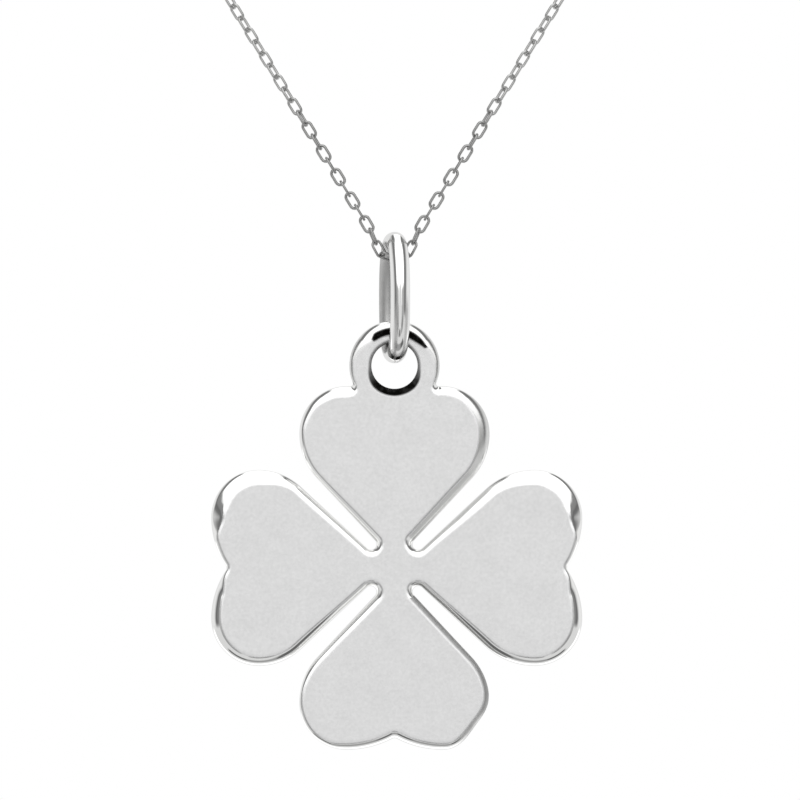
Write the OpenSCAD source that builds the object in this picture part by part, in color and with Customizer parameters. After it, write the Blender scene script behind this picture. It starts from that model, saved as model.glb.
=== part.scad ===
// Four leaf clover pendant with its bail, chain and clasp, in millimetres.
// The wearer's nape is at the origin, the front looks along -Y and +Z is up.

/* [Clover plate] */
// Thickness of the flat plate
plate_t = 1.2; // [1.1:0.05:1.8]
// Radius of the rounded edge that runs all round the plate
plate_edge = 0.45; // [0.25:0.05:0.5]
// From the middle of the clover to the tips of the upper and lower leaves
upright_reach = 9.75; // [9.6:0.05:10.6]
// From the middle of the clover to the tips of the side leaves, were they even
side_reach = 9.95; // [9.6:0.05:10.6]
// How far the casting's side leaves reach out more to the right than to the left
side_shift = 0.12; // [0:0.02:0.3]
// Half the width of the upper and lower leaves
upright_half_w = 5.1; // [4.9:0.05:5.3]
// Half the width of the side leaves
side_half_w = 5.25; // [5:0.05:5.4]
// Radius of the outer corner of every lobe
lobe_r = 2.55; // [2.4:0.05:2.9]
// From the middle of the clover to the bottom of each notch
notch_at = 9.13; // [8.8:0.01:9.3]
// Radius in the bottom of each notch
notch_r = 0.3; // [0.2:0.05:0.5]

/* [Slots between the leaves] */
// From the middle of the clover to a slot's round end, across and up
slot_at = 1.27; // [1.1:0.01:1.4]
// Radius of a slot's round end
slot_r = 0.3; // [0.25:0.01:0.4]
// Angle by which each side of a slot leans away from the diagonal
slot_open = 2; // [0:0.5:4]

/* [Ring on the clover] */
// From the middle of the clover to the middle of the ring
ring_at = 10.85; // [10.6:0.05:11.2]
// Radius of the ring's hole
ring_hole_r = 1.24; // [1.14:0.02:1.4]
// Width of the ring's metal, from the hole to the outside
ring_w = 1.18; // [1:0.02:1.4]
// Thickness of the ring, a little under the plate's
ring_t = 1.14; // [0.9:0.02:1.16]
// Radius of the ring's rounded edges
ring_edge = 0.42; // [0.3:0.02:0.44]

/* [Bail] */
// Diameter of the bail's round wire
bail_wire = 1.05; // [0.8:0.05:1.1]
// Height of the bail over its wire
bail_h = 7.05; // [6.5:0.05:8]
// Depth of the bail over its wire
bail_d = 4.65; // [4.4:0.05:5]
// Angle by which the bail is turned, its back leg to the left
bail_turn = 10; // [0:1:20]

/* [Chain] */
// Width of the chain over its links
chain_w = 0.64; // [0.5:0.02:0.7]
// Angle between each strand and the vertical, near the bail
strand_lean = 31.5; // [26:0.5:36]
// Height of the chain under the bail, below the nape
chain_drop = 120; // [110:1:130]
// Distance of the hanging strands in front of the nape
chain_front = 103; // [95:1:112]
// Width of the chain's loop where it passes round the neck
loop_w = 110; // [102:1:120]

/* [Clasp] */
// Outer diameter of the spring ring
clasp_od = 5.6; // [5:0.1:7]
// Diameter of the spring ring's tube
clasp_wire = 1.2; // [0.9:0.1:1.5]
// Outer diameter of the eye on each side
clasp_eye_od = 2; // [1.7:0.1:2.4]
// Diameter of the eyes' wire
clasp_eye_wire = 0.4; // [0.3:0.05:0.5]

/* [Fits] */
// Gap between the chain and the bail, and between the bail and the ring
hang_gap = 0.06; // [0.04:0.01:0.1]
// Gap between the end of the chain and the clasp's eye
end_gap = 0.2; // [0.1:0.05:0.3]
// Gap between the nape and the clasp
nape_gap = 0.1; // [0.05:0.05:0.5]

/* [Hidden] */
$fn = 96;

// Hanging heights, from the chain down
bail_top_z = -chain_drop + chain_w / 2 + hang_gap + bail_wire / 2;
bail_foot_z = bail_top_z - (bail_h - bail_wire);
ring_z = bail_foot_z + bail_wire / 2 + hang_gap - ring_hole_r;
clover_z = ring_z - ring_at;

// Flank of every leaf: its slope, its outward normal and where it touches the slot's round end
flank = 45 + slot_open;
flank_n = [sin(flank), -cos(flank)];
slot_touch = [slot_at, slot_at] - slot_r * flank_n;

// Leaves, a row for each: turn, reach, half width, shift of its tip outwards
TURN = 0;
REACH = 1;
HALF_W = 2;
SHIFT = 3;
LEAVES = [
    [0, upright_reach, upright_half_w, 0],
    [90, side_reach, side_half_w, -side_shift],
    [180, upright_reach, upright_half_w, 0],
    [270, side_reach, side_half_w, side_shift]
];

// Straight pieces in each arc of a leaf's edge, and across the rounded edge
slot_steps = 6;
side_steps = 7;
lobe_steps = 12;
crown_steps = 5;
notch_steps = 3;
round_steps = 4;

// Bail: the middle of its wire is a half circle at each end with straight legs between
bail_end_r = (bail_d - bail_wire) / 2;
bail_leg = bail_h - bail_d;

// Clasp: the spring ring and the eye on each side of it, behind the nape
clasp_y = nape_gap + clasp_wire / 2;
clasp_r = (clasp_od - clasp_wire) / 2;
eye_r = (clasp_eye_od - clasp_eye_wire) / 2;
eye_x = clasp_od / 2 + clasp_eye_od / 2 - clasp_eye_wire;

// Chain: the bend under the bail's top, which it leaves at an angle from the vertical, the
// straight strand above it and the stretch round the neck
wrap_r = chain_w / 2 + hang_gap + bail_wire / 2;
bend_leave = 20;
bend_steps = 6;

// Points of the straight strand, as distances along it from the height of the bail's top
strand_at = [1.1, 18, 36];

// Points of the stretch round the neck, as shares of half the loop's width, of the
// distance in front of the nape and of the height below it
ROUTE = [
    [0.527, 0.981, 0.608],
    [0.709, 0.922, 0.475],
    [0.855, 0.816, 0.358],
    [0.964, 0.67, 0.25],
    [1, 0.505, 0.158],
    [0.945, 0.34, 0.092],
    [0.818, 0.194, 0.042],
    [0.6, 0.078, 0.017],
    [0.345, 0.01, 0]
];
span_steps = 3;
tube_sides = 8;

// A point inside the loop, towards which a side of the tube faces
loop_mid = [0, -chain_front / 2, -chain_drop / 2];

// Points of an arc as [point, outward normal], without its last one. bow is 1 where the
// arc bulges out of the plate and -1 where it curves in.
function arc(centre, r, from, to, steps, bow) = [
    for (k = [0:steps - 1])
        let (a = from + (to - from) * k / steps, n = [cos(a), sin(a)])
        [centre + r * n, bow * n]
];

// Right half of the edge of a leaf that points up, from the slot's end to the notch
function half_leaf_edge(reach, half_w, notch) =
    let (
        lobe = [half_w - lobe_r, reach - lobe_r],
        notch_rise = notch + notch_r - reach,
        crown_r = (pow(lobe[0], 2) + pow(notch_rise, 2) - pow(notch_r, 2))
            / (2 * (notch_r - notch_rise)),
        crown = [lobe[0], reach - crown_r],
        crown_turn = asin(lobe[0] / (crown_r + notch_r)),
        side_r = (flank_n * (slot_touch - [half_w, lobe[1]])) / (1 - flank_n[0]),
        side = [half_w - side_r, lobe[1]]
    )
    concat(
        arc([slot_at, slot_at], slot_r, 225, 90 + flank, slot_steps, -1),
        [[slot_touch, flank_n]],
        arc(side, side_r, flank - 90, 0, side_steps, 1),
        arc(lobe, lobe_r, 0, 90, lobe_steps, 1),
        arc(crown, crown_r, 90, 90 + crown_turn, crown_steps, 1),
        arc([0, notch + notch_r], notch_r, crown_turn - 90, -90, notch_steps, -1),
        [[[0, notch], [0, 1]]]
    );

function turned(v, a) = [cos(a) * v[0] - sin(a) * v[1], sin(a) * v[0] + cos(a) * v[1]];

function mirrored(v) = [-v[0], v[1]];

// Edge of the whole clover, each leaf's right half and then its left half
function clover_edge() = [
    for (row = LEAVES)
        let (
            half = half_leaf_edge(row[REACH] + row[SHIFT], row[HALF_W], notch_at + row[SHIFT]),
            last = len(half) - 1
        )
        each concat(
            [for (q = half) [turned(q[0], row[TURN]), turned(q[1], row[TURN])]],
            [for (i = [last - 1:-1:1])
                [turned(mirrored(half[i][0]), row[TURN]), turned(mirrored(half[i][1]), row[TURN])]]
        )
];

// Levels of the rounded edge from the back face to the front, as [distance in, height]
function edge_levels() = [
    for (s = [-1, 1], k = [0:round_steps])
        let (a = s > 0 ? 90 * k / round_steps : 90 * (k / round_steps - 1))
        [plate_edge * (1 - cos(a)), s * (plate_t / 2 - plate_edge) + plate_edge * sin(a)]
];

// Plate of four leaves with its edge rounded all round
module plate() {
    edge = clover_edge();
    levels = edge_levels();
    n = len(edge);
    top = (len(levels) - 1) * n;
    polyhedron(
        points = [for (v = levels, q = edge)
            let (p = q[0] - v[0] * q[1])
            [p[0], p[1], v[1]]],
        faces = concat(
            [[for (i = [0:n - 1]) i]],
            [for (k = [0:len(levels) - 2], i = [0:n - 1]) [
                k * n + i,
                (k + 1) * n + i,
                (k + 1) * n + (i + 1) % n,
                k * n + (i + 1) % n
            ]],
            [[for (i = [n - 1:-1:0]) top + i]]
        )
    );
}

// Outline across the ring's metal, with rounded corners
module ring_outline() {
    for (e = [[0, ring_edge], [ring_edge, 0]])
        translate([ring_hole_r + e[0], e[1] - ring_t / 2])
            square([ring_w - 2 * e[0], ring_t - 2 * e[1]]);
    for (x = [ring_edge, ring_w - ring_edge], s = [-1, 1])
        translate([ring_hole_r + x, s * (ring_t / 2 - ring_edge)])
            circle(ring_edge);
}

module clover() {
    color([0.78, 0.78, 0.80])
        translate([0, -chain_front, clover_z])
            rotate([90, 0, 0]) {
                plate();
                translate([0, ring_at, 0])
                    rotate_extrude()
                        ring_outline();
            }
}

// Oval of round wire: a half circle at each end and two straight legs
module bail() {
    color([0.70, 0.70, 0.73])
        translate([0, -chain_front, (bail_top_z + bail_foot_z) / 2])
            rotate([90, 0, 90 + bail_turn])
                for (end = [0, 180])
                    rotate([0, 0, end]) {
                        translate([0, bail_leg / 2, 0])
                            rotate_extrude(angle = 180)
                                translate([bail_end_r, 0])
                                    circle(d = bail_wire);
                        translate([bail_end_r, bail_leg / 2, 0])
                            rotate([90, 0, 0])
                                cylinder(h = bail_leg, d = bail_wire);
                    }
}

// Point at share t of the span between p1 and p2 of a smooth curve through all four points
function on_curve(p0, p1, p2, p3, t) =
    0.5 * (2 * p1 + (p2 - p0) * t + (2 * p0 - 5 * p1 + 4 * p2 - p3) * pow(t, 2)
        + (3 * p1 - p0 - 3 * p2 + p3) * pow(t, 3));

function unit(v) = v / norm(v);

// Right half of the chain, from the strand's start to the clasp
function strand_points() = concat(
    [for (s = strand_at) [
        wrap_r + s * sin(strand_lean),
        -chain_front,
        bail_top_z + s * cos(strand_lean)
    ]],
    [for (s = ROUTE) [s[0] * loop_w / 2, -s[1] * chain_front, -s[2] * chain_drop]],
    [[eye_x + clasp_eye_od / 2 + end_gap, clasp_y, 0]]
);

function half_path(p) =
    let (last = len(p) - 1)
    concat(
        [for (i = [0:last - 1], k = [0:span_steps - 1]) on_curve(
            i > 0 ? p[i - 1] : 2 * p[0] - p[1],
            p[i],
            p[i + 1],
            i < last - 1 ? p[i + 2] : 2 * p[last] - p[last - 1],
            k / span_steps
        )],
        [p[last]]
    );

// Middle line of the whole chain, from the clasp's left side round to its right side
function chain_path() =
    let (half = half_path(strand_points()), reach = 90 - bend_leave)
    concat(
        [for (i = [len(half) - 1:-1:0]) [-half[i][0], half[i][1], half[i][2]]],
        [for (i = [0:bend_steps]) let (a = reach * (2 * i / bend_steps - 1)) [
            wrap_r * sin(a),
            -chain_front,
            bail_top_z - wrap_r * cos(a)
        ]],
        half
    );

// Corners of the tube round one point of the path
function tube_ring(path, i) =
    let (
        along = unit(path[min(i + 1, len(path) - 1)] - path[max(i - 1, 0)]),
        across = unit(cross(along, loop_mid - path[i])),
        inward = cross(across, along)
    )
    [for (k = [0:tube_sides - 1]) let (a = 360 * k / tube_sides)
        path[i] + chain_w / 2 * (cos(a) * across + sin(a) * inward)];

module chain() {
    path = chain_path();
    n = tube_sides;
    last = len(path) - 1;
    color([0.60, 0.60, 0.63])
        polyhedron(
            points = [for (i = [0:last]) each tube_ring(path, i)],
            faces = concat(
                [[for (k = [0:n - 1]) n - 1 - k]],
                [for (i = [0:last - 1], k = [0:n - 1]) [
                    i * n + k,
                    i * n + (k + 1) % n,
                    (i + 1) * n + (k + 1) % n,
                    (i + 1) * n + k
                ]],
                [[for (k = [0:n - 1]) last * n + k]]
            )
        );
}

module clasp() {
    color([0.74, 0.74, 0.77])
        translate([0, clasp_y, 0])
            rotate([90, 0, 0]) {
                rotate([0, 0, 90])
                    rotate_extrude()
                        translate([clasp_r, 0])
                            circle(d = clasp_wire);
                for (side = [0, 180])
                    rotate([0, 0, side])
                        translate([eye_x, 0, 0])
                            rotate_extrude()
                                translate([eye_r, 0])
                                    circle(d = clasp_eye_wire);
            }
}

clover();
bail();
chain();
clasp();
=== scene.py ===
"""Four leaf clover pendant of polished silver on its bail, with the whole cable chain and its clasp."""

import logging
import math
from dataclasses import dataclass, replace
from enum import Enum

import bpy
from bpy.types import Material, Node, NodeSocket, NodeTree, Object
from mathutils import Matrix, Vector
from mathutils.geometry import tessellate_polygon


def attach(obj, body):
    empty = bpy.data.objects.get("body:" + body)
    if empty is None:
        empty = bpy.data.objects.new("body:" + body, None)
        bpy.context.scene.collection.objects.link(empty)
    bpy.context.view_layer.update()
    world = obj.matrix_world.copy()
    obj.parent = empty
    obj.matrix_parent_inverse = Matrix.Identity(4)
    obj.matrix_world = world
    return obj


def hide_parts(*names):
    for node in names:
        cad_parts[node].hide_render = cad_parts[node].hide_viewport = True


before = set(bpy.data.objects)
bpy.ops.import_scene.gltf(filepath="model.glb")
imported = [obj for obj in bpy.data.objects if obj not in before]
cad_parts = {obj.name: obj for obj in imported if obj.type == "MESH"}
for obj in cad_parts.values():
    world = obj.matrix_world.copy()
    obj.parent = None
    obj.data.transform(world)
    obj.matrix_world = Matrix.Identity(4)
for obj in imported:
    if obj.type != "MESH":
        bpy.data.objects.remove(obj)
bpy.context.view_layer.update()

MM = 0.001
# Nearly all of Blender's noise lies between these two values
NOISE_SPAN = {"From Min": 0.3, "From Max": 0.7}
# How an arc of the outline bows: out of the metal, or into it
BULGE, HOLLOW = 1, -1
log = logging.getLogger("clover_pendant")


# Small helpers for nodes and meshes


def linear(hex_colour: str) -> tuple[float, float, float, float]:
    """Turns an sRGB hex colour to the linear colour that shaders take.

    Args:
        hex_colour: six hex digits, such as "F4F4F2".

    Returns:
        Linear red, green, blue and an alpha of one.
    """
    parts = [int(hex_colour[i : i + 2], 16) / 255 for i in (0, 2, 4)]
    return (*[p / 12.92 if p <= 0.04045 else ((p + 0.055) / 1.055) ** 2.4 for p in parts], 1.0)


def add_node(tree: NodeTree, kind: str, feeds: dict | None = None, **settings: str | bool) -> Node:
    """Adds a node to a tree, sets it up and links its inputs.

    Args:
        tree: the tree that gets the node.
        kind: the node's Blender type.
        feeds: a number, colour or output socket for each input, by the input's name or number.
        settings: the node's own properties.

    Returns:
        The new node.
    """
    node = tree.nodes.new(kind)
    for name, value in settings.items():
        setattr(node, name, value)
    for name, value in (feeds or {}).items():
        if isinstance(value, NodeSocket):
            tree.links.new(value, node.inputs[name])
        else:
            node.inputs[name].default_value = value
    return node


def mesh_object(
    name: str,
    points: list[Vector],
    faces: list[tuple[int, ...]],
    smooth: bool = True,
) -> Object:
    """Makes a mesh object at the origin from points in millimetres.

    Args:
        name: the piece's name.
        points: its vertices in the row frame, in millimetres.
        faces: vertex numbers of each face, anticlockwise seen from outside.
        smooth: True for smooth shading.

    Returns:
        The new object, linked to the scene.
    """
    mesh = bpy.data.meshes.new(name)
    mesh.from_pydata([p * MM for p in points], [], faces)
    mesh.update()
    if smooth:
        mesh.shade_smooth()
    piece = bpy.data.objects.new(name, mesh)
    bpy.context.scene.collection.objects.link(piece)
    return piece


def tube(
    path: list[Vector],
    radii: list[float],
    sides: int,
    inside: Vector,
    first: int = 0,
) -> tuple[list[Vector], list[tuple[int, ...]]]:
    """Sweeps a round section along a closed flat loop.

    Args:
        path: points of the loop's middle line.
        radii: the section's radius at each point.
        sides: corners of the section.
        inside: unit normal of the loop's plane.
        first: number of the first vertex.

    Returns:
        The tube's vertices and faces.
    """
    count = len(path)
    points, faces = [], []
    for i, centre in enumerate(path):
        along = (path[(i + 1) % count] - path[i - 1]).normalized()
        across = along.cross(inside)
        for k in range(sides):
            turn = 2 * math.pi * k / sides
            points.append(centre + radii[i] * (math.cos(turn) * across + math.sin(turn) * inside))
    for i in range(count):
        here, there = first + i * sides, first + (i + 1) % count * sides
        for k in range(sides):
            after = (k + 1) % sides
            faces.append((here + k, there + k, there + after, here + after))
    return points, faces


def mark(piece: Object, name: str, values: list[float]) -> None:
    """Writes a value on every vertex of a piece, for its material to read.

    Args:
        piece: the piece.
        name: the attribute's name.
        values: a value for each vertex, from 0 to 1.
    """
    piece.data.attributes.new(name, "FLOAT", "POINT").data.foreach_set("value", values)


def eased(share: float) -> float:
    """Eases a share between 0 and 1 in and out."""
    held = min(max(share, 0.0), 1.0)
    return held * held * (3 - 2 * held)


def bearing(way: Vector) -> float:
    """Angle of a flat direction above the horizontal, in degrees."""
    return math.degrees(math.atan2(way.y, way.x))


def spline(start: Vector, leave: Vector, end: Vector, arrive: Vector, steps: int) -> list[Vector]:
    """Smooth curve from one point to another.

    Args:
        start: its first point.
        leave: how it leaves that point, longer for a stronger pull.
        end: its end.
        arrive: how it arrives there.
        steps: pieces in it.

    Returns:
        The curve's points, without its end.
    """
    made = []
    for t in (k / steps for k in range(steps)):
        place = start * (1 + t * t * (2 * t - 3)) + end * (t * t * (3 - 2 * t))
        made.append(place + leave * (t * (1 - t) ** 2) + arrive * (t * t * (t - 1)))
    return made


# Finishes


class Surface(Enum):
    """How a silver surface was left by its maker."""

    BUFFED = "buffed"
    SATIN = "satin"
    DRAWN = "drawn"

    @property
    def hollow_tone(self) -> float:
        """Brightness of the grain's hollows beside its tops."""
        return 0.92 if self is Surface.SATIN else 0.98


@dataclass(frozen=True)
class SilverFinish:
    """A finish of sterling silver.

    Attributes:
        name: the material's name.
        surface: how the surface was made.
        colour: sRGB hex of the metal's reflection.
        roughness: from 0, a mirror, to 1.
        grain_mm: size of the grain that the finish leaves, drawn coarser than life to show.
        grain_height_mm: height of that grain.
        wear_mm: size of the patches in which the gloss is uneven.
        oxide_mm: size of the patches in the painted shade.
        oxide_colour: sRGB hex of the painted shade, a near-black colour laid where the piece is marked.
        oxide_roughness: how much rougher the metal is under the painted shade.
    """

    name: str
    surface: Surface
    colour: str
    roughness: float
    grain_mm: float
    grain_height_mm: float
    wear_mm: float = 1.4
    oxide_mm: float = 0.3
    oxide_colour: str = "1E1D1B"
    oxide_roughness: float = 0.9

    def material(self) -> Material:
        """Builds the material.

        Returns:
            A metal with grain on Object coordinates and painted shade, darker and rougher, where the piece
            is marked.
        """
        made = bpy.data.materials.new(self.name)
        made.use_nodes = True
        tree = made.node_tree
        shader = tree.nodes["Principled BSDF"]
        shader.inputs["Metallic"].default_value = 1.0
        place = add_node(tree, "ShaderNodeTexCoord").outputs["Object"]
        grain, wear, patches = (
            add_node(
                tree,
                "ShaderNodeTexNoise",
                {"Vector": place, "Scale": 1 / (size * MM), "Detail": detail, "Roughness": fine},
            ).outputs["Fac"]
            for size, detail, fine in (
                (self.grain_mm, 3.0, 0.6),
                (self.wear_mm, 2.0, 0.5),
                (self.oxide_mm, 2.0, 0.5),
            )
        )
        tone, gloss, uneven = (
            add_node(
                tree, "ShaderNodeMapRange", {"Value": noise, **NOISE_SPAN, "To Min": low, "To Max": high}
            ).outputs["Result"]
            for noise, low, high in (
                (grain, 0.0, 1.0),
                (wear, self.roughness * 0.85, self.roughness * 1.15),
                (patches, 0.94, 1.04),
            )
        )
        tops = linear(self.colour)
        hollows = (*[c * self.surface.hollow_tone for c in tops[:3]], 1.0)
        clean = add_node(
            tree, "ShaderNodeMix", {"Factor": tone, 6: hollows, 7: tops}, data_type="RGBA"
        ).outputs[2]
        # Painted shade: the share marked on each vertex mixes the colour towards near black
        left = add_node(tree, "ShaderNodeAttribute", attribute_name="oxide").outputs["Fac"]
        oxide = add_node(
            tree, "ShaderNodeMath", {0: left, 1: uneven}, operation="MULTIPLY", use_clamp=True
        ).outputs[0]
        colour = add_node(
            tree,
            "ShaderNodeMix",
            {"Factor": oxide, 6: clean, 7: linear(self.oxide_colour)},
            data_type="RGBA",
        ).outputs[2]
        rough = add_node(
            tree,
            "ShaderNodeMath",
            {0: oxide, 1: self.oxide_roughness, 2: gloss},
            operation="MULTIPLY_ADD",
        ).outputs[0]
        bump = add_node(
            tree,
            "ShaderNodeBump",
            {"Height": grain, "Distance": self.grain_height_mm * MM, "Strength": 1.0},
        ).outputs["Normal"]
        for name, socket in (("Base Color", colour), ("Roughness", rough), ("Normal", bump)):
            tree.links.new(socket, shader.inputs[name])
        return made


# Cast silver, tumbled and buffed on a felt wheel: a mirror on every edge and round surface.
BUFFED_SILVER = SilverFinish("silver_buffed", Surface.BUFFED, "F8F8F7", 0.07, 0.25, 0.0002)
# The flat faces keep a fine grain from the tumbler under the polish, so they gleam softly.
SATIN_SILVER = SilverFinish("silver_satin_face", Surface.SATIN, "F8F8F8", 0.22, 0.16, 0.0012)
# Drawn wire, soldered; its grey, darker than the silver, is painted shade for the dark reflections in the
# fine links.
DRAWN_SILVER = SilverFinish("silver_drawn_wire", Surface.DRAWN, "BEBEBD", 0.08, 0.12, 0.0002)


# Clover


@dataclass(frozen=True)
class Bevel:
    """Hand-polished bevel along one half of a leaf, its widths in millimetres.

    Attributes:
        slot: width at the slot's end.
        flank: widths at the start and the end of the straight flank.
        lobe: widths at four places round the lobe, the last one at the leaf's tip.
        crown: widths halfway from the tip to the notch, and at the notch.
        leans: angles at which it leaves the flat face, on the flank, round the lobe and at the tip.
        dull: how much painted shade greys it, from 0 to 1.
        filed: how far the lobe was filed flatter, at the most.
        patch: where the painted black shade begins on the ring, in degrees above the horizontal, on the
            leaf with the ring.
    """

    slot: float
    flank: tuple[float, float]
    lobe: tuple[float, float, float, float]
    crown: tuple[float, float]
    leans: tuple[float, float, float] = (33.0, 22.0, 22.0)
    dull: float = 0.0
    filed: float = 0.0
    patch: float = 90.0


# The right and the left half of each leaf, the leaves in the order up, left, down, right.
# A bevel's fifth value greys it with painted shade; patch is where painted black shade starts on the ring
BEVELS = (
    Bevel(0.24, (0.38, 0.41), (0.56, 0.5, 0.38, 0.32), (0.34, 0.35), (33.0, 14.0, 22.0), 0.2, patch=14.0),
    Bevel(0.24, (0.3, 0.21), (0.19, 0.26, 0.38, 0.46), (0.42, 0.38), (22.0, 22.0, 22.0), patch=34.0),
    Bevel(0.24, (0.21, 0.32), (0.64, 0.68, 0.74, 0.6), (0.14, 0.1), (22.0, 22.0, 32.0)),
    Bevel(0.27, (0.24, 0.37), (0.43, 0.46, 0.46, 0.46), (0.42, 0.1)),
    Bevel(0.27, (0.32, 0.21), (0.1, 0.13, 0.21, 0.32), (0.34, 0.34), (22.0, 24.0, 22.0)),
    Bevel(0.27, (0.21, 0.19), (0.2, 0.23, 0.27, 0.32), (0.34, 0.34), (22.0, 24.0, 24.0), 0.5, filed=0.37),
    Bevel(0.27, (0.24, 0.37), (0.43, 0.46, 0.46, 0.46), (0.42, 0.1)),
    Bevel(0.24, (0.24, 0.45), (0.64, 0.7, 0.74, 0.58), (0.14, 0.1), (22.0, 22.0, 32.0)),
)


@dataclass
class EdgePoint:
    """A point of the clover's outline.

    Attributes:
        place: across and up from the clover's middle.
        out: unit normal that points out of the metal.
        width: width of the bevel there, from the flat face to the outside.
        crease: angle at which the bevel leaves the flat face.
        dull: how much painted shade greys it, from 0 to 1.
        oxide: how much black oxide is left beside the crease, from 0 to 1.
    """

    place: Vector
    out: Vector
    width: float
    crease: float
    dull: float = 0.0
    oxide: float = 0.0

    def moved(self, spin: Matrix) -> "EdgePoint":
        """The same point turned or mirrored about the clover's middle."""
        return replace(self, place=spin @ self.place, out=spin @ self.out)


@dataclass
class Clover:
    """Plate of four heart-shaped leaves with the ring that is cast with it.

    Here and in the classes below lengths are in millimetres and angles in degrees. A span is
    the middle of a stretch, half its extent, and the stretch over which its ends fade.
    """

    thick: float = 1.2
    upright_reach: float = 9.75
    side_reach: float = 9.95
    side_shift: float = 0.12
    upright_half_w: float = 5.1
    side_half_w: float = 5.25
    lobe_r: float = 2.55
    notch_at: float = 9.13
    notch_r: float = 0.3
    slot_at: float = 1.27
    slot_r: float = 0.3
    slot_open: float = 2.0
    slot_lean: float = 26.0
    # Where round the lobe the file took off most, and how far to each side it reached
    filed_at: float = 36.0
    filed_half: float = 50.0
    # Painted shade on an edge fades towards the leaf's tip, and is full from the slope set below
    dull_fade: float = 1.6
    dull_lean: float = 10.0
    # The ring's bevel is narrow from its foot on and widest from its shoulder to its top
    ring_at: float = 10.85
    ring_hole_r: float = 1.24
    ring_w: float = 1.18
    ring_edge: float = 0.57
    ring_side_edge: float = 0.2
    ring_crease: float = 8.0
    ring_foot: float = 24.0
    ring_shoulder: float = 58.0
    # Painted shade greys the ring's sides, over a span of angles round the ring
    ring_dull: float = 0.2
    ring_dull_span: tuple[float, float, float] = (-4.0, 50.0, 25.0)
    # Painted black shade starts at the crease and spreads out to the slope set below, in a point at first;
    # the face's margin gets a little of it
    margin_oxide: float = 0.25
    oxide_grows: float = 26.0
    oxide_lean: float = 16.0
    oxide_fade: float = 4.0
    # The hole is worn widest at its foot; painted shade blackens its edge, most in a crescent at its foot
    hole_edge: float = 0.1
    hole_edge_low: float = 0.32
    hole_crease: float = 8.0
    hole_oxide: float = 0.6
    crescent: tuple[float, float] = (0.05, 1.15)
    fillet_r: float = 0.14
    fillet_edge: float = 0.14
    fillet_crease: float = 10.0
    # Section of every edge
    flat_margin: float = 0.22
    crease_w: float = 0.12
    steepening: float = 5.0
    corner_share: float = 0.92
    wall_keep: float = 0.06
    # Where the clover's middle hangs
    front: float = -103.0
    up: float = -136.6
    bevels: tuple[Bevel, ...] = BEVELS

    def arc(
        self,
        centre: tuple[float, float],
        radius: float,
        span: tuple[float, float],
        steps: int,
        bow: int,
        widths: tuple[float, float],
        creases: tuple[float, float],
    ) -> list[EdgePoint]:
        """Points of one arc of the outline, without its last one.

        Args:
            centre: the arc's centre.
            radius: its radius.
            span: angles of its first point and of its end, in degrees.
            steps: straight pieces in it.
            bow: BULGE or HOLLOW.
            widths: width of the bevel at its two ends.
            creases: angle of the crease at its two ends, in degrees.

        Returns:
            The arc's points.
        """
        made = []
        for k in range(steps):
            turn = math.radians(span[0] + (span[1] - span[0]) * k / steps)
            share = eased(k / steps)
            out = Vector((math.cos(turn), math.sin(turn)))
            made.append(
                EdgePoint(
                    Vector(centre) + radius * out,
                    bow * out,
                    widths[0] + (widths[1] - widths[0]) * share,
                    creases[0] + (creases[1] - creases[0]) * share,
                )
            )
        return made

    def half_leaf(
        self,
        reach: float,
        half_w: float,
        notch: float,
        bevel: Bevel,
        ringed: bool,
    ) -> list[EdgePoint]:
        """Right half of a leaf that points up.

        Args:
            reach: from the clover's middle to the leaf's tip.
            half_w: half the leaf's width.
            notch: from the clover's middle to the bottom of the leaf's notch.
            bevel: the bevel along this half.
            ringed: True for the leaf that carries the ring, whose notch the ring covers.

        Returns:
            Points from the slot's end to the middle of the notch, or of the ring's top.
        """
        steep, gentle, tip_lean = bevel.leans
        flank = 45 + self.slot_open
        flank_out = Vector((math.sin(math.radians(flank)), -math.cos(math.radians(flank))))
        slot = Vector((self.slot_at, self.slot_at))
        touch = slot - self.slot_r * flank_out
        lobe = Vector((half_w - self.lobe_r, reach - self.lobe_r))
        side_r = flank_out.dot(touch - Vector((half_w, lobe.y))) / (1 - flank_out.x)
        side = Vector((half_w - side_r, lobe.y))
        side_start = side + side_r * flank_out
        widths, creases = (bevel.slot, bevel.flank[0]), (self.slot_lean, steep)
        slot_end = self.arc(slot, self.slot_r, (225, 90 + flank), 12, HOLLOW, widths, creases)
        steps, edge = 24, []
        for share in (k / steps for k in range(steps)):
            width = bevel.flank[0] + (bevel.flank[1] - bevel.flank[0]) * eased(share)
            edge.append(EdgePoint(touch.lerp(side_start, share), flank_out, width, steep))
        widths = (bevel.flank[1], bevel.lobe[0])
        rounded = self.arc(side, side_r, (flank - 90, 0), 26, BULGE, widths, (steep, gentle))
        # Three arcs round the lobe, because its bevel is given at four places
        for i, (span, lean) in enumerate((((0, 33), gentle), ((33, 67), gentle), ((67, 90), tip_lean))):
            rounded += self.arc(lobe, self.lobe_r, span, 16, BULGE, bevel.lobe[i : i + 2], (gentle, lean))
        edge += self.filed(rounded, bevel.filed)
        for point in edge:
            # Painted shade greys the bevel, less towards the leaf's tip
            point.dull = bevel.dull * eased(self.dull_fade * (1 - max(point.out.y, 0.0)))
        rise = notch + self.notch_r - reach
        crown_r = (lobe.x**2 + rise**2 - self.notch_r**2) / (2 * (self.notch_r - rise))
        crown = Vector((lobe.x, reach - crown_r))
        if ringed:
            return slot_end + edge + self.ring_half(crown, crown_r, bevel)
        return slot_end + edge + self.notch_half(crown, crown_r, notch, bevel)

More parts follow.
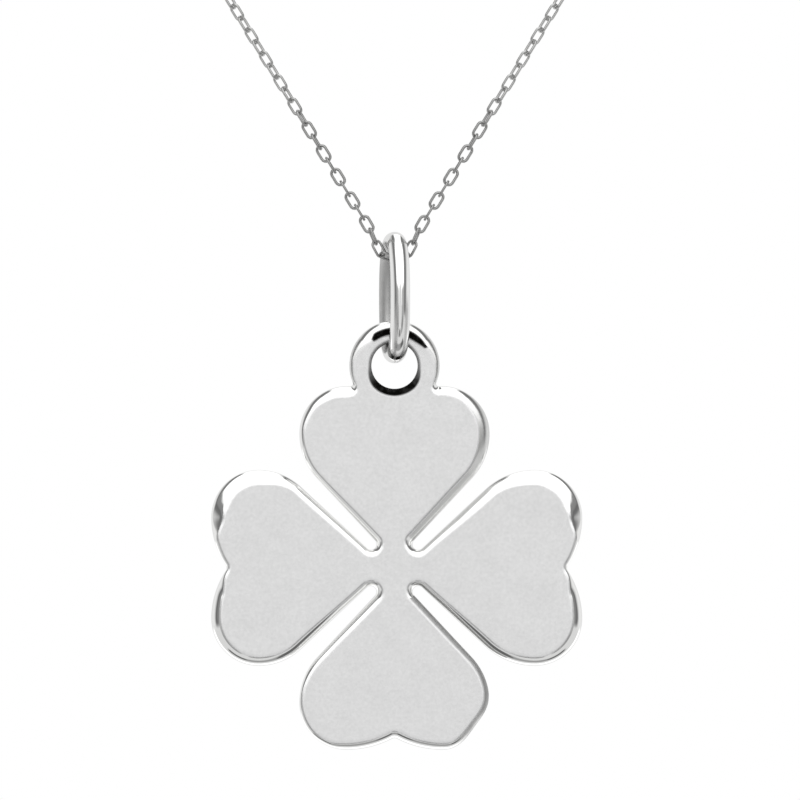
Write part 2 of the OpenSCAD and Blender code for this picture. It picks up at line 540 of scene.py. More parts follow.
    def filed(self, points: list[EdgePoint], depth: float) -> list[EdgePoint]:
        """Flattens a lobe with a file, most at one place round it, and turns the normals to suit.

        Args:
            points: the leaf's rounded side and its lobe, up to its tip.
            depth: how much is filed off at the most.

        Returns:
            The points moved in.
        """
        made = []
        for point in points:
            cut = depth * eased(1 - abs(bearing(point.out) - self.filed_at) / self.filed_half)
            made.append(replace(point, place=point.place - cut * point.out))
        for before, point, after in zip(made, made[1:], made[2:]):
            along = (after.place - before.place).normalized()
            point.out = Vector((along.y, -along.x))
        return made

    def notch_half(self, crown: Vector, crown_r: float, notch: float, bevel: Bevel) -> list[EdgePoint]:
        """Right half of a plain tip, from the end of the lobe to the middle of the notch.

        Args:
            crown: centre of the arc between the tip and the notch.
            crown_r: its radius.
            notch: from the clover's middle to the bottom of the notch.
            bevel: the bevel along this half.

        Returns:
            The tip's points.
        """
        lean, foot = bevel.leans[2], bevel.crown[1]
        turn = math.degrees(math.asin(crown.x / (crown_r + self.notch_r)))
        halfway = 90 + turn / 2
        widths = (bevel.lobe[3], bevel.crown[0])
        points = self.arc(crown, crown_r, (90, halfway), 12, BULGE, widths, (lean, lean))
        points += self.arc(crown, crown_r, (halfway, 90 + turn), 12, BULGE, bevel.crown, (lean, lean))
        dip, creases = (0, notch + self.notch_r), (lean, self.slot_lean)
        points += self.arc(dip, self.notch_r, (turn - 90, -90), 10, HOLLOW, (foot, foot), creases)
        points.append(EdgePoint(Vector((0, notch)), Vector((0, 1)), foot, self.slot_lean))
        return points

    def ring_half(self, crown: Vector, crown_r: float, bevel: Bevel) -> list[EdgePoint]:
        """Right half of the tip that carries the ring, from the end of the lobe to the ring's top.

        Args:
            crown: centre of the arc between the tip and the ring.
            crown_r: its radius.
            bevel: the bevel along this half.

        Returns:
            The points of the tip, the fillet and the ring, with painted shade grey on the ring's sides and
            black on its top.
        """
        lean, crease = bevel.leans[2], self.ring_crease
        side, top = self.ring_side_edge, self.ring_edge
        eye, eye_r = Vector((0, self.ring_at)), self.ring_hole_r + self.ring_w
        fillet = self.touching(crown, crown_r + self.fillet_r, eye, eye_r + self.fillet_r)
        leave = bearing(fillet - crown)
        arrive = bearing(fillet - eye)
        widths = (bevel.lobe[3], bevel.crown[0])
        points = self.arc(crown, crown_r, (90, leave), 10, BULGE, widths, (lean, lean))
        turned, widths = (leave + 180, arrive + 180), (bevel.crown[0], self.fillet_edge)
        points += self.arc(fillet, self.fillet_r, turned, 12, HOLLOW, widths, (lean, self.fillet_crease))
        foot, shoulder = arrive + self.ring_foot, self.ring_shoulder
        widths, creases = (self.fillet_edge, side), (self.fillet_crease, crease)
        around = self.arc(eye, eye_r, (arrive, foot), 12, BULGE, widths, creases)
        around += self.arc(eye, eye_r, (foot, shoulder), 36, BULGE, (side, top), (crease, crease))
        around += self.arc(eye, eye_r, (shoulder, 90), 16, BULGE, (top, top), (crease, crease))
        around.append(EdgePoint(eye + Vector((0, eye_r)), Vector((0, 1)), top, crease))
        # Painted shade: black on the ring's top beyond the patch angle, grey on its sides
        middle, half, fade = self.ring_dull_span
        for point in around:
            above = bearing(point.place - eye)
            point.oxide = eased((above - bevel.patch) / self.oxide_grows)
            point.dull = self.ring_dull * eased((half - abs(above - middle)) / fade)
        return points + around

    @staticmethod
    def touching(a: Vector, a_r: float, b: Vector, b_r: float) -> Vector:
        """Where two circles cross, on their right side.

        Args:
            a: centre of the first circle.
            a_r: its radius.
            b: centre of the second circle.
            b_r: its radius.

        Returns:
            The crossing with the larger x.
        """
        line = b - a
        span = line.length
        along = (a_r**2 - b_r**2 + span**2) / (2 * span)
        aside = math.sqrt(a_r**2 - along**2)
        foot = a + line * (along / span)
        across = Vector((line.y, -line.x)) / span
        return max(foot + across * aside, foot - across * aside, key=lambda p: p.x)

    def outline(self) -> list[EdgePoint]:
        """Whole outer edge of the clover, the ring's outside with it.

        Returns:
            Points anticlockwise as seen from the front.
        """
        leaves = (
            (0, self.upright_reach, self.upright_half_w, 0.0),
            (90, self.side_reach, self.side_half_w, -self.side_shift),
            (180, self.upright_reach, self.upright_half_w, 0.0),
            (270, self.side_reach, self.side_half_w, self.side_shift),
        )
        edge = []
        for number, (turn, reach, half_w, shift) in enumerate(leaves):
            right, left = (
                self.half_leaf(reach + shift, half_w, self.notch_at + shift, bevel, number == 0)
                for bevel in self.bevels[2 * number : 2 * number + 2]
            )
            left = [p.moved(Matrix(((-1, 0), (0, 1)))) for p in reversed(left[1:-1])]
            edge += [p.moved(Matrix.Rotation(math.radians(turn), 2)) for p in right + left]
        return edge

    def hole(self) -> list[EdgePoint]:
        """Edge of the ring's hole, worn widest at its foot.

        Returns:
            Points clockwise as seen from the front.
        """
        steps = 160
        made = []
        for k in range(steps):
            turn = -2 * math.pi * k / steps
            out = Vector((math.cos(turn), math.sin(turn)))
            low = eased(self.crescent[0] - self.crescent[1] * out.y)
            width = self.hole_edge + (self.hole_edge_low - self.hole_edge) * low
            place = Vector((0, self.ring_at)) + self.ring_hole_r * out
            # Painted shade: the hole's edge is painted dark all round and black at its foot
            black = self.hole_oxide + (1 - self.hole_oxide) * low
            made.append(EdgePoint(place, -out, width, self.hole_crease, oxide=black))
        return made

    def levels(self, point: EdgePoint) -> list[tuple[float, float, float]]:
        """Section of the edge at one point, from the back face to the front.

        The bevel leaves the face at the crease, runs nearly straight and ends in a rounded
        corner; a narrow margin of the flat face goes with it.

        Args:
            point: the outline's point.

        Returns:
            Distance in from the outline, height over the plate's middle and slope of each level.
            The slope is under 0 in the margin of the flat face.
        """
        shallow, steep = math.radians(point.crease), math.radians(point.crease + self.steepening)
        slope = math.tan((shallow + steep) / 2)
        rise = math.cos(steep) / (1 - math.sin(steep))
        room = self.thick / 2 - self.wall_keep
        corner = min(self.corner_share * point.width, (room - slope * point.width) / (rise - slope))
        half = [(point.width + self.flat_margin, 0.0, -1.0), (point.width + self.crease_w, 0.0, 0.0)]
        drop = self.crease_w * math.tan(shallow) / 2
        steps = 3
        for k in range(steps + 1):
            share = k / steps
            inset = point.width + (corner - point.width) * share
            half.append((inset, drop, point.crease + self.steepening * share))
            ahead = shallow + (steep - shallow) * (share + 0.5 / steps)
            drop += (point.width - corner) / steps * math.tan(ahead)
        fall = half[-1][1]
        steps = 9
        for k in range(1, steps + 1):
            turn = steep + (math.pi / 2 - steep) * k / steps
            inset = corner * (1 - math.sin(turn)) / (1 - math.sin(steep))
            down = fall + corner * (math.cos(steep) - math.cos(turn)) / (1 - math.sin(steep))
            half.append((inset, down, math.degrees(turn)))
        top = self.thick / 2
        front = [(inset, top - down, lean) for inset, down, lean in half]
        return [(inset, -height, lean) for inset, height, lean in front] + list(reversed(front))

    def build(self) -> Object:
        """Builds the clover as one closed piece.

        Returns:
            The piece, its flat faces on the second material slot.
        """
        points: list[Vector] = []
        faces: list[tuple[int, ...]] = []
        oxide: list[float] = []
        flats: list[int] = []
        borders: list[tuple[list[int], list[int]]] = []
        for edge, in_hole in ((self.outline(), False), (self.hole(), True)):
            count, first = len(edge), len(points)
            sections = [self.levels(p) for p in edge]
            rows = len(sections[0])
            for level in range(rows):
                for p, section in zip(edge, sections):
                    inset, height, lean = section[level]
                    flat = p.place - inset * p.out
                    points.append(Vector((flat.x, self.front - height, self.up + flat.y)))
                    oxide.append(self.darkness(p, lean, in_hole))
            for level in range(rows - 1):
                here, over = first + level * count, first + (level + 1) * count
                # The margin and the strip beside the crease go with the flat faces
                if level in (0, 1, rows - 3, rows - 2):
                    flats += range(len(faces), len(faces) + count)
                for i in range(count):
                    after = (i + 1) % count
                    faces.append((here + i, here + after, over + after, over + i))
            borders.append((
                list(range(first, first + count)),
                list(range(first + (rows - 1) * count, first + rows * count)),
            ))
        for side, to_back in ((0, True), (1, False)):
            rings = [border[side] for border in borders]
            flat = [n for ring in rings for n in ring]
            rim = [[Vector((points[n].x, points[n].z, 0)) for n in ring] for ring in rings]
            for triangle in tessellate_polygon(rim):
                a, b, c = (flat[n] for n in triangle)
                ab, ac = points[b] - points[a], points[c] - points[a]
                to_front = ab.cross(ac).y < 0
                flats.append(len(faces))
                faces.append((a, b, c) if to_front != to_back else (a, c, b))
        piece = mesh_object("clover_cast", points, faces)
        for number in flats:
            piece.data.polygons[number].material_index = 1
        # Painted shade on the ring, its hole and some bevels, for the finishes to read
        mark(piece, "oxide", oxide)
        return piece

    def darkness(self, point: EdgePoint, lean: float, in_hole: bool) -> float:
        """How much painted shade darkens the metal at one level of the edge.

        Args:
            point: the outline's point.
            lean: slope of the level, under 0 for the margin of the flat face.
            in_hole: True in the ring's hole, whose wall is painted black as shade.

        Returns:
            A share from 0 to 1.
        """
        if in_hole:
            return point.oxide * eased((lean - 1) / self.hole_crease)
        if lean < 0:
            return point.oxide * self.margin_oxide
        reach = self.oxide_lean * point.oxide
        black = eased((reach - max(lean, self.ring_crease)) / self.oxide_fade)
        return max(point.dull * eased(lean / self.dull_lean), black)

    def dress(self, piece: Object, edge: Material, face: Material) -> None:
        """Gives the piece its finishes and its place in the frame.

        Args:
            piece: the clover.
            edge: finish of the bevels and the ring's edges.
            face: finish of the flat faces.
        """
        piece.data.materials.append(edge)
        piece.data.materials.append(face)
        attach(piece, "clover")
        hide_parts("clover")


# Bail


@dataclass
class Bail:
    """Closed oval of round wire through the clover's ring, over the chain."""

    wire: float = 1.05
    height: float = 7.05
    depth: float = 4.65
    turn: float = 10.0
    front: float = -103.0
    top_z: float = -119.095
    roundness: float = 2.5
    steps: int = 220
    sides: int = 48
    # The side that faces into the oval is greyed with painted shade, with a soft edge
    dull: float = 0.43
    dull_edge: float = 0.15
    # Painted dark reflections run in streaks down the front leg from a little above its middle
    streaks: tuple[tuple[float, float, float], ...] = ((-24, 15, 0.3), (44, 15, 0.34))
    streak_fade: float = 8.0
    streaks_from: float = 0.4
    streaks_grow: float = 1.2

    def path(self) -> list[Vector]:
        """Middle line of the wire, a softened oval in its own plane.

        Returns:
            Points round the oval in the row frame.
        """
        half_d, half_h = (self.depth - self.wire) / 2, (self.height - self.wire) / 2
        lean = math.radians(self.turn)
        out = Vector((math.sin(lean), -math.cos(lean), 0))
        middle = Vector((0, self.front, self.top_z - half_h))
        made = []
        for k in range(self.steps):
            turn = 2 * math.pi * k / self.steps
            c, s = math.cos(turn), math.sin(turn)
            reach = (abs(c) ** self.roundness + abs(s) ** self.roundness) ** (-1 / self.roundness)
            made.append(middle + out * (half_d * reach * c) + Vector((0, 0, half_h * reach * s)))
        return made

    def build(self) -> Object:
        """Builds the bail, marked dull inside the oval and in streaks down the front leg.

        The streaks are painted dark reflections on the lower half; each is an angle round the wire from the
        front, half a width and a strength.

        Returns:
            The bail's tube.
        """
        lean = math.radians(self.turn)
        plane = Vector((-math.cos(lean), -math.sin(lean), 0))
        path = self.path()
        from_z = self.top_z - (self.height - self.wire) / 2 + self.streaks_from
        points, faces = tube(path, [self.wire / 2] * self.steps, self.sides, plane)
        piece = mesh_object("bail_oval", points, faces)
        dark = []
        for i, centre in enumerate(path):
            along = (path[(i + 1) % self.steps] - path[i - 1]).normalized()
            inward = plane.cross(along)
            low = eased((from_z - centre.z) / self.streaks_grow) if centre.y < self.front else 0.0
            for point in points[i * self.sides : (i + 1) * self.sides]:
                off = point - centre
                facing = off.dot(inward) / (self.wire / 2)
                turn = math.degrees(math.atan2(off.x, -off.y))
                # Painted reflection: dark streaks down the front leg's lower half
                streak = max(s * eased((w - abs(turn - a)) / self.streak_fade) for a, w, s in self.streaks)
                # Painted shade greys the side facing into the oval
                inside = self.dull * eased((facing + self.dull_edge) / (2 * self.dull_edge))
                dark.append(max(inside, low * streak))
        mark(piece, "oxide", dark)
        return piece

    def dress(self, piece: Object, finish: Material) -> None:
        """Gives the piece its finish and its place in the frame.

        Args:
            piece: the bail.
            finish: its finish.
        """
        piece.data.materials.append(finish)
        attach(piece, "bail")
        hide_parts("bail")


# Chain


@dataclass
class LinkPlace:
    """Where a link lies.

    Attributes:
        middle: its middle.
        along: unit vector along its length.
        face: unit normal of its plane.
        dull: how much painted shade darkens it, from 0 to 1.
    """

    middle: Vector
    along: Vector
    face: Vector
    dull: float


@dataclass
class CableChain:
    """Fine cable chain of soldered links, from one side of the clasp round to the other."""

    width: float = 0.64
    wire: float = 0.155
    wire_sides: int = 6
    pitch: float = 0.74
    slack: float = 0.012
    corner: float = 0.24
    corner_steps: int = 4
    # Painted shade darkens the links near the bail, up to this many from the bend
    dull: float = 0.24
    dull_links: int = 16
    dull_fade: float = 6.0
    # The links under the bail twist; further on they drift and sway, each from a number of links
    # on and over another, and the last ones settle square for the clasp
    bend_links: int = 3
    bend_twist: float = 12.9
    drift: float = 34.0
    drift_links: tuple[float, float] = (6.0, 11.0)
    sway: float = 30.0
    sway_links: tuple[float, float] = (20.0, 17.0)
    settle_links: int = 49
    # The bend under the bail, the straight strands, and the loop round the neck
    wrap_r: float = 0.905
    bail_clear: float = 0.07
    bend_leave: float = 20.0
    lean: float = 31.5
    drop: float = 120.0
    front: float = 103.0
    loop_w: float = 110.0
    bail_top_z: float = -119.095
    end: tuple[float, float, float] = (4.77, 0.68, 0.0)
    strand_at: tuple[float, ...] = (1.1, 18.0, 36.0)
    # Shares of half the loop's width, of its depth and of its drop
    route: tuple[tuple[float, float, float], ...] = (
        (0.527, 0.981, 0.608),
        (0.709, 0.922, 0.475),
        (0.855, 0.816, 0.358),
        (0.964, 0.67, 0.25),
        (1.0, 0.505, 0.158),
        (0.945, 0.34, 0.092),
        (0.818, 0.194, 0.042),
        (0.6, 0.078, 0.017),
        (0.345, 0.01, 0.0),
    )

    def half_path(self) -> list[Vector]:
        """Dense points from the lowest point under the bail to the clasp's right side.

        Returns:
            The right half of the chain's middle line.
        """
        lean = math.radians(self.lean)
        bend = self.wrap_r + self.bail_clear
        sweep = math.radians(90 - self.bend_leave)
        steps = 60
        path = []
        for turn in (sweep * k / steps for k in range(steps + 1)):
            height = self.bail_top_z - bend * math.cos(turn)
            path.append(Vector((bend * math.sin(turn), -self.front, height)))
        leave = path.pop()
        top = Vector((self.wrap_r, -self.front, self.bail_top_z))
        rise = Vector((math.sin(lean), 0, math.cos(lean)))
        stops = [top + rise * s for s in self.strand_at]
        pull = (stops[0] - leave).length
        start = Vector((math.cos(sweep), 0, math.sin(sweep)))
        path += spline(leave, start * pull, stops[0], rise * pull, 40)
        stops += [Vector((x * self.loop_w / 2, -y * self.front, -z * self.drop)) for x, y, z in self.route]
        stops.append(Vector(self.end))
        before = [2 * stops[0] - stops[1], *stops]
        beyond = [*stops[2:], 2 * stops[-1] - stops[-2]]
        for a, b, c, d in zip(before, stops, stops[1:], beyond):
            path += spline(b, (c - a) / 2, c, (d - b) / 2, 80)
        return path + [stops[-1]]

    def half_joints(self) -> list[Vector]:
        """Points where one link meets the next, spaced evenly from the middle of the bend.

        Returns:
            Joints of the right half, the lowest point first.
        """
        path = self.half_path()
        lengths = [0.0]
        for a, b in zip(path, path[1:]):
            lengths.append(lengths[-1] + (b - a).length)
        count = round(lengths[-1] / self.pitch)
        joints, at = [], 0
        for k in range(count + 1):
            want = lengths[-1] * k / count
            while at < len(path) - 2 and lengths[at + 1] < want:
                at += 1
            share = (want - lengths[at]) / (lengths[at + 1] - lengths[at])
            joints.append(path[at].lerp(path[at + 1], min(share, 1)))
        return joints

    def roll(self, number: int, count: int) -> float:
        """How far a link is turned about the chain from facing the front.

        Args:
            number: the link's number from the bend, from 0.
            count: links in this half.

        Returns:
            The turn in degrees.
        """
        from_bend = number - self.bend_links
        turn = 90.0 * from_bend + self.bend_twist * min(from_bend, 0)
        start, over = self.drift_links
        turn += self.drift * eased((number - start) / over)
        start, pace = self.sway_links
        turn += self.sway * math.sin(max(number - start, 0) / pace)
        square = 90.0 * round((turn + 90) / 90)
        tail = min(max((number + 1 - count) / self.settle_links + 1, 0), 1)
        return turn + (square - turn) * tail

    def lay(self) -> list[LinkPlace]:
        """Lays every link along the route.

        Returns:
            The places of all links, the right half first.
        """
        joints = self.half_joints()
        count = len(joints) - 1
        made = []
        for mirror in (1, -1):
            face = Vector((0, -1, 0))
            side = [Vector((joint.x * mirror, joint.y, joint.z)) for joint in joints]
            for i, (a, b) in enumerate(zip(side, side[1:])):
                along = (b - a).normalized()
                face = (face - along * face.dot(along)).normalized()
                turn = math.radians(self.roll(i, count)) * mirror
                # Painted shade, darkest on the links next to the bail
                dull = self.dull * eased((self.dull_links - i) / self.dull_fade)
                made.append(LinkPlace((a + b) / 2, along, Matrix.Rotation(turn, 3, along) @ face, dull))
        return made

    def link_tree(self) -> NodeTree:
        """Geometry Nodes tree that sets one link of rounded wire on every point.

        Returns:
            The tree, with the link's sizes and its silver as inputs.
        """
        tree = bpy.data.node_groups.new("cable_chain_links", "GeometryNodeTree")
        tree.interface.new_socket("Geometry", in_out="INPUT", socket_type="NodeSocketGeometry")
        for name in ("Link length", "Link width", "Wire radius", "Corner radius"):
            tree.interface.new_socket(name, in_out="INPUT", socket_type="NodeSocketFloat")
        tree.interface.new_socket("Silver", in_out="INPUT", socket_type="NodeSocketMaterial")
        tree.interface.new_socket("Geometry", in_out="OUTPUT", socket_type="NodeSocketGeometry")
        given = add_node(tree, "NodeGroupInput").outputs
        oblong = add_node(
            tree,
            "GeometryNodeCurvePrimitiveQuadrilateral",
            {"Width": given["Link length"], "Height": given["Link width"]},
        )
        bent = add_node(
            tree,
            "GeometryNodeFilletCurve",
            {
                "Curve": oblong.outputs["Curve"],
                "Count": self.corner_steps,
                "Radius": given["Corner radius"],
            },
            mode="POLY",
        )
        wire = add_node(
            tree,
            "GeometryNodeCurvePrimitiveCircle",
            {"Resolution": self.wire_sides, "Radius": given["Wire radius"]},
        )
        link = add_node(
            tree,
            "GeometryNodeCurveToMesh",
            {"Curve": bent.outputs["Curve"], "Profile Curve": wire.outputs["Curve"]},
        )
        turn = add_node(
            tree, "GeometryNodeInputNamedAttribute", {"Name": "link_turn"}, data_type="FLOAT_VECTOR"
        )
        angle = add_node(tree, "FunctionNodeEulerToRotation", {"Euler": turn.outputs["Attribute"]})
        laid = add_node(
            tree,
            "GeometryNodeInstanceOnPoints",
            {
                "Points": given["Geometry"],
                "Instance": link.outputs["Mesh"],
                "Rotation": angle.outputs["Rotation"],
            },
        )
        real = add_node(tree, "GeometryNodeRealizeInstances", {"Geometry": laid.outputs["Instances"]})
        smooth = add_node(tree, "GeometryNodeSetShadeSmooth", {"Geometry": real.outputs["Geometry"]})
        silver = add_node(
            tree,
            "GeometryNodeSetMaterial",
            {"Geometry": smooth.outputs["Geometry"], "Material": given["Silver"]},
        )
        add_node(tree, "NodeGroupOutput", {"Geometry": silver.outputs["Geometry"]})
        return tree

    def build(self, silver: Material) -> Object:
        """Builds all links as one piece.

        Args:
            silver: finish of the links.

        Returns:
            The chain as a plain mesh.
        """
        places = self.lay()
        log.info("links: %d", len(places))
        seeds = mesh_object("chain_places", [p.middle for p in places], [])
        mark(seeds, "oxide", [p.dull for p in places])
        turns = seeds.data.attributes.new("link_turn", "FLOAT_VECTOR", "POINT")
        for i, p in enumerate(places):
            aside = p.face.cross(p.along)
            turns.data[i].vector = Matrix((p.along, aside, p.face)).transposed().to_euler()
        tree = self.link_tree()
        laid = seeds.modifiers.new("links", "NODES")
        laid.node_group = tree
        sizes = {
            "Link length": (self.pitch + self.wire + 2 * self.slack) * MM,
            "Link width": (self.width - self.wire) * MM,
            "Wire radius": self.wire / 2 * MM,
            "Corner radius": self.corner * MM,
            "Silver": silver,
        }
        for item in tree.interface.items_tree:
            if item.in_out == "INPUT" and item.name in sizes:
                laid[item.identifier] = sizes[item.name]
        bpy.context.view_layer.update()
        mesh = bpy.data.meshes.new_from_object(seeds.evaluated_get(bpy.context.evaluated_depsgraph_get()))
        bpy.data.objects.remove(seeds)
        mesh.name = "chain_links"
        piece = bpy.data.objects.new("chain_links", mesh)
        bpy.context.scene.collection.objects.link(piece)
        return piece

    def dress(self, piece: Object) -> None:
        """Gives the piece its place in the frame.

        Args:
            piece: the links.
        """
        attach(piece, "necklace")
        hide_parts("chain")


# Clasp


@dataclass
class SpringRingClasp:
    """Closed spring ring at the nape, with an eye and a small jump ring on each side."""

    outer: float = 5.6
    wire: float = 1.2
    eye_outer: float = 2.0
    eye_wire: float = 0.4
    back: float = 0.7
    jump_r: float = 0.5
    jump_wire: float = 0.2
    jump_play: float = 0.02

    @staticmethod
    def loops(
        name: str,
        rings: list[tuple[Vector, float, float]],
        normal: Vector,
        steps: int,
        sides: int,
    ) -> Object:
        """Makes one piece of closed round rings that share a plane's direction.

        Args:
            name: the piece's name.
            rings: middle, radius to the middle of the wire, and wire diameter of each ring.
            normal: unit normal of the rings' planes.
            steps: points round each ring.
            sides: corners of the wire's section.

        Returns:
            The piece.
        """
        across = Vector((1, 0, 0))
        up = normal.cross(across)
        points, faces = [], []
        for middle, radius, wire in rings:
            turns = (2 * math.pi * k / steps for k in range(steps))
            path = [middle + radius * (math.cos(t) * across + math.sin(t) * up) for t in turns]
            more, skin = tube(path, [wire / 2] * steps, sides, normal, len(points))
            points += more
            faces += skin
        return mesh_object(name, points, faces)

    def build(self) -> tuple[Object, Object]:
        """Builds the ring with its eyes, and the two jump rings.

        Returns:
            The clasp and the jump rings.
        """
        middle, x = Vector((0, self.back, 0)), Vector((1, 0, 0))
        eye_x = self.outer / 2 + self.eye_outer / 2 - self.eye_wire
        eye_r = (self.eye_outer - self.eye_wire) / 2
        rings = [(middle, (self.outer - self.wire) / 2, self.wire)]
        rings += [(middle + side * eye_x * x, eye_r, self.eye_wire) for side in (-1, 1)]
        clasp = self.loops("clasp_spring_ring", rings, Vector((0, -1, 0)), steps=96, sides=28)
        hook = eye_x + eye_r + self.jump_r - self.jump_wire / 2 - self.eye_wire / 2 - self.jump_play
        jumps = [(middle + side * hook * x, self.jump_r, self.jump_wire) for side in (-1, 1)]
        return clasp, self.loops("chain_jump_rings", jumps, Vector((0, 0, 1)), steps=48, sides=12)

    def dress(self, clasp: Object, rings: Object, finish: Material) -> None:
        """Gives both pieces their finish and their place in the frame.

        Args:
            clasp: the spring ring.
            rings: the jump rings.
            finish: their finish.
        """
        for piece, name in ((clasp, "clasp_silver"), (rings, "chain_silver")):
            piece.data.materials.append(finish)
            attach(piece, "necklace")
        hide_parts("clasp")


# Studio


@dataclass(frozen=True)
class TentPanel:
    """A panel or a gap of the light tent, the same on its left and right side.

    Attributes:
        turn: angle above the horizontal at which it stands round the view's middle, in degrees.
        half_turn: half its extent in that direction.
        away: angle between it and the camera, in degrees.
        half_away: half its extent away from the camera.
        glow: its brightness.
        soft: degrees over which its edge fades.
    """

    turn: float
    half_turn: float
    away: float
    half_away: float
    glow: float
    soft: float


@dataclass
class Studio:
    """Light tent, pale floor and camera.

    The tent's white cloth hangs over the front and the top. Its hem is a dark seam that runs
    down from behind on both sides, and panels and gaps lie under it. A grey card stands round
    the camera.
    """

    cloth_glow: float = 1.3
    # How fast the way across the hem grows aside, to the back and upwards
    hem_slopes: tuple[float, float, float] = (0.72, 0.576, -0.389)
    # Brightness at each place on that way, as a share of the cloth's
    hem_glows: tuple[tuple[float, float], ...] = (
        (0.0, 1.0),
        (0.05, 0.2),
        (0.2, 0.18),
        (0.27, 0.11),
        (0.38, 0.14),
        (0.5, 0.4),
        (0.7, 0.65),
    )
    hem_span: tuple[float, float, float] = (27.0, 38.0, 9.0)
    card_glow: float = 0.74
    card_span: tuple[float, float, float] = (0.0, 16.0, 5.0)
    card_drop: float = 10.0
    behind_glow: float = 0.78
    behind_span: tuple[float, float, float] = (180.0, 38.0, 10.0)
    view_w: float = 42.92
    distance: float = 600.0
    aim: tuple[float, float, float] = (0.295, -103.0, -127.59)
    sensor_w: float = 36.0
    floor_z: float = -230.0
    floor_r: float = 2150.0
    floor_colour: str = "E9E9E8"
    panels: tuple[TentPanel, ...] = (
        TentPanel(-53, 35, 66, 30, 0.72, 12),
        TentPanel(-60, 11, 70, 6, 0.13, 6),
        TentPanel(-86, 11, 70, 8, 0.34, 6),
        TentPanel(-36, 24, 30, 11, 0.3, 4),
        TentPanel(-86, 11, 30, 10, 0.25, 4),
        TentPanel(-6, 14, 31, 8, 0.42, 7),
    )

    @staticmethod
    def window(tree: NodeTree, value: NodeSocket, middle: float, half: float, soft: float) -> NodeSocket:
        """Mask that is 1 where an angle lies near a middle and fades to 0 beyond.

        Args:
            tree: the world's tree.
            value: the angle in radians.
            middle: middle of the window in degrees.
            half: half its width.
            soft: width over which each side fades.

        Returns:
            The mask's socket.
        """
        middle, half, soft = (math.radians(angle) for angle in (middle, half, soft))
        off = add_node(tree, "ShaderNodeMath", {0: value, 1: middle}, operation="SUBTRACT")
        size = add_node(tree, "ShaderNodeMath", {0: off.outputs[0]}, operation="ABSOLUTE")
        fade = add_node(
            tree,
            "ShaderNodeMapRange",
            {"Value": size.outputs[0], "From Min": half, "From Max": half + soft, "To Min": 1, "To Max": 0},
            interpolation_type="SMOOTHSTEP",
        )
        return fade.outputs["Result"]

    @staticmethod
    def blend(
        tree: NodeTree,
        mask: NodeSocket,
        below: NodeSocket | float,
        above: NodeSocket | float,
    ) -> NodeSocket:
        """Lays one brightness over another.

        Args:
            tree: the world's tree.
            mask: where the upper one shows.
            below: the lower brightness.
            above: the upper brightness.

        Returns:
            The blended brightness.
        """
        feeds = {"Factor": mask, 2: below, 3: above}
        return add_node(tree, "ShaderNodeMix", feeds, data_type="FLOAT").outputs[0]

    def tent_light(self, tree: NodeTree) -> NodeSocket:
        """Brightness of the tent in the direction that a ray leaves.

        Args:
            tree: the world's tree.

        Returns:
            The brightness.
        """
        way = add_node(tree, "ShaderNodeTexCoord").outputs["Generated"]
        axes = add_node(tree, "ShaderNodeSeparateXYZ", {0: way}).outputs
        aside = add_node(tree, "ShaderNodeMath", {0: axes["X"]}, operation="ABSOLUTE").outputs[0]
        turn = add_node(tree, "ShaderNodeMath", {0: axes["Z"], 1: aside}, operation="ARCTAN2").outputs[0]
        front = add_node(tree, "ShaderNodeMath", {0: axes["Y"], 1: -1.0}, operation="MULTIPLY").outputs[0]
        away = add_node(tree, "ShaderNodeMath", {0: front}, operation="ARCCOSINE").outputs[0]
        out, back, up = self.hem_slopes
        level = add_node(
            tree, "ShaderNodeVectorMath", {0: way, 1: (0.0, back, up)}, operation="DOT_PRODUCT"
        ).outputs["Value"]
        hem = add_node(
            tree, "ShaderNodeMath", {0: aside, 1: out, 2: level}, operation="MULTIPLY_ADD"
        ).outputs[0]
        shade = add_node(tree, "ShaderNodeValToRGB", {"Fac": hem})
        ramp = shade.color_ramp.elements
        for number, (place, glow) in enumerate(self.hem_glows):
            stop = ramp[number] if number < 2 else ramp.new(place)
            stop.position, stop.color = place, (glow, glow, glow, 1)
        cloth = add_node(
            tree, "ShaderNodeMath", {0: shade.outputs["Color"], 1: self.cloth_glow}, operation="MULTIPLY"
        ).outputs[0]
        light = self.blend(tree, self.window(tree, turn, *self.hem_span), self.cloth_glow, cloth)
        for panel in self.panels:
            round_view = self.window(tree, turn, panel.turn, panel.half_turn, panel.soft)
            outward = self.window(tree, away, panel.away, panel.half_away, panel.soft)
            mask = add_node(tree, "ShaderNodeMath", {0: round_view, 1: outward}, operation="MULTIPLY")
            light = self.blend(tree, mask.outputs[0], light, panel.glow)
        light = self.blend(tree, self.window(tree, away, *self.behind_span), light, self.behind_glow)
        drop = math.radians(self.card_drop)
        near = add_node(
            tree,
            "ShaderNodeVectorMath",
            {0: way, 1: (0.0, -math.cos(drop), -math.sin(drop))},
            operation="DOT_PRODUCT",
        ).outputs["Value"]
        off = add_node(tree, "ShaderNodeMath", {0: near}, operation="ARCCOSINE").outputs[0]
        return self.blend(tree, self.window(tree, off, *self.card_span), light, self.card_glow)

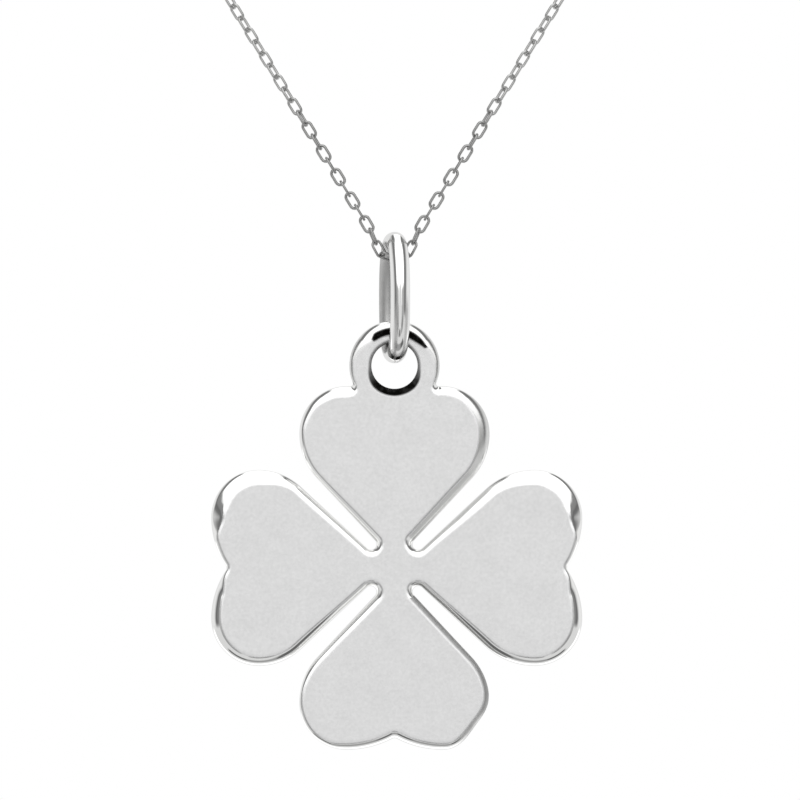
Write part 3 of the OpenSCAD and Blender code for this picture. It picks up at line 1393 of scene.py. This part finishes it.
    def hang_tent(self) -> None:
        """Lights the scene with the tent, and shows the camera a plain white ground."""
        world = bpy.data.worlds.new("light_tent")
        bpy.context.scene.world = world
        world.use_nodes = True
        tree = world.node_tree
        tree.nodes.clear()
        light = self.tent_light(tree)
        seen = add_node(tree, "ShaderNodeBackground", {"Color": (1, 1, 1, 1), "Strength": 1.0})
        tent = add_node(tree, "ShaderNodeBackground", {"Color": (1, 1, 1, 1), "Strength": light})
        ray = add_node(tree, "ShaderNodeLightPath").outputs["Is Camera Ray"]
        both = add_node(tree, "ShaderNodeMixShader", {0: ray, 1: tent.outputs[0], 2: seen.outputs[0]})
        add_node(tree, "ShaderNodeOutputWorld", {"Surface": both.outputs[0]})

    def lay_floor(self) -> None:
        """Lays the plain pale floor well under the pendant."""
        steps = 96
        rim = [
            Vector((self.floor_r * math.cos(t), self.floor_r * math.sin(t), self.floor_z))
            for t in (2 * math.pi * k / steps for k in range(steps))
        ]
        floor = mesh_object("floor", rim, [tuple(range(steps))], smooth=False)
        paper = bpy.data.materials.new("floor_matt_paper")
        paper.use_nodes = True
        shader = paper.node_tree.nodes["Principled BSDF"]
        shader.inputs["Base Color"].default_value = linear(self.floor_colour)
        shader.inputs["Roughness"].default_value = 0.9
        floor.data.materials.append(paper)
        floor.visible_glossy = False

    def set_camera(self) -> None:
        """Sets the camera straight in front of the pendant, with a long lens."""
        lens = bpy.data.cameras.new("camera")
        lens.sensor_width = self.sensor_w
        lens.lens = self.sensor_w * self.distance / self.view_w
        lens.clip_start, lens.clip_end = 0.05, 20.0
        camera = bpy.data.objects.new("camera", lens)
        bpy.context.scene.collection.objects.link(camera)
        camera.location = (Vector(self.aim) - Vector((0, self.distance, 0))) * MM
        camera.rotation_euler = (math.pi / 2, 0, 0)
        bpy.context.scene.camera = camera


def main() -> None:
    """Builds the studio and every piece in order, and reports each one."""
    logging.basicConfig(level=logging.INFO, format="%(name)s: %(message)s")
    scene = bpy.context.scene
    scene.view_settings.view_transform = "Standard"
    scene.view_settings.look = "None"
    studio = Studio()
    studio.set_camera()
    studio.hang_tent()
    studio.lay_floor()

    buffed, satin, drawn = (f.material() for f in (BUFFED_SILVER, SATIN_SILVER, DRAWN_SILVER))

    clover = Clover()
    plate = clover.build()
    clover.dress(plate, buffed, satin)

    bail = Bail()
    oval = bail.build()
    bail.dress(oval, buffed)

    chain = CableChain()
    links = chain.build(drawn)
    chain.dress(links)

    clasp = SpringRingClasp()
    ring, jumps = clasp.build()
    clasp.dress(ring, jumps, buffed)

    for piece in (plate, oval, links, ring, jumps):
        log.info("%s: %d faces", piece.name, len(piece.data.polygons))


if __name__ == "__main__":
    main()
